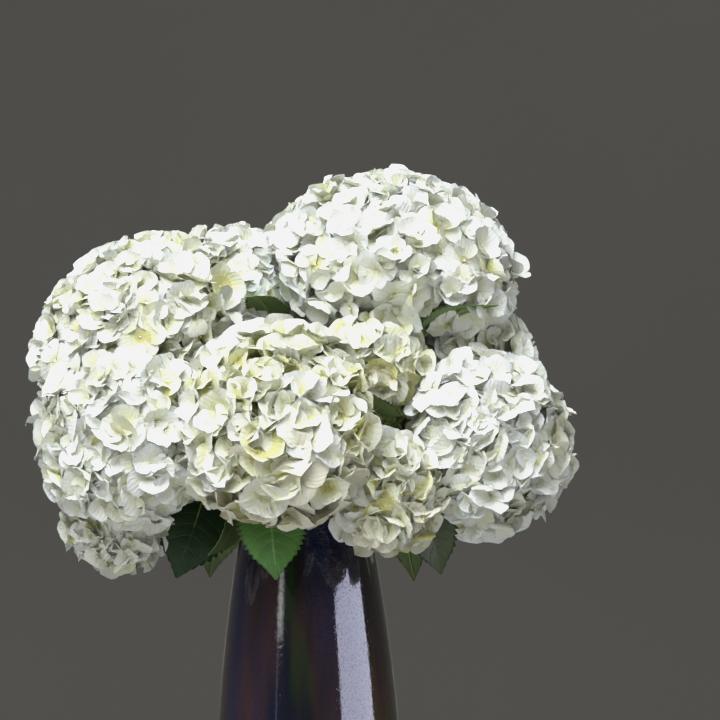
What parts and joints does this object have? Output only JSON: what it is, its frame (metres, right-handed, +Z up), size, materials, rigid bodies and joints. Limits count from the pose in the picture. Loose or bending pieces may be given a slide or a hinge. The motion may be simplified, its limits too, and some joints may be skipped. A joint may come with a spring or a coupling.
{
  "type": "hydrangea bouquet in a vase",
  "caption": "Full bunch of white mophead hydrangea heads with serrated leaves, cut stems standing in a tall dark glazed vase.",
  "frame": {"origin": "centre of the vase's flat underside", "axes": "+Z up, along the vase's axis and the bouquet's height; -Y towards the side that is seen from the front; +X to the right of that side"},
  "size_m": [0.417, 0.3608, 0.6534],
  "materials": {
    "vase_glaze": "glossy near-black glaze with faint brown and violet clouds",
    "green_stem": "satin green stem skin",
    "petals": "soft matt white petals, greener towards their bases",
    "leaf_blade": "satin dark green leaf"
  },
  "bodies": {
    "root": {"vase": "vase_glaze", "stem_crown_right": "green_stem", "stem_crown_back": "green_stem", "stem_crown_left": "green_stem", "stem_heart": "green_stem", "stem_shoulder_right": "green_stem", "stem_back_right": "green_stem", "stem_back_low": "green_stem", "stem_back_left": "green_stem", "stem_shoulder_left": "green_stem", "stem_side_left_low": "green_stem", "stem_side_left": "green_stem", "stem_front": "green_stem", "stem_front_low": "green_stem", "stem_side_right": "green_stem", "bloom_crown_right": "petals", "bloom_crown_back": "petals", "bloom_crown_left": "petals", "bloom_heart": "petals", "bloom_shoulder_right": "petals", "bloom_back_right": "petals", "bloom_back_low": "petals", "bloom_back_left": "petals", "bloom_shoulder_left": "petals", "bloom_side_left_low": "petals", "bloom_side_left": "petals", "bloom_front": "petals", "bloom_front_low": "petals", "bloom_side_right": "petals", "leaf_front": "leaf_blade", "leaf_left_near": "leaf_blade", "leaf_left_far": "leaf_blade", "leaf_left_under": "leaf_blade", "leaf_heart": "leaf_blade", "leaf_under_crown": "leaf_blade", "leaf_upper_left": "leaf_blade", "leaf_right_back": "leaf_blade", "leaf_back_left": "leaf_blade", "leaf_back_right": "leaf_blade", "leaf_back": "leaf_blade", "leaf_back_upper": "leaf_blade", "leaf_side_right": "leaf_blade", "leaf_side_left": "leaf_blade"}
  },
  "joints": []
}
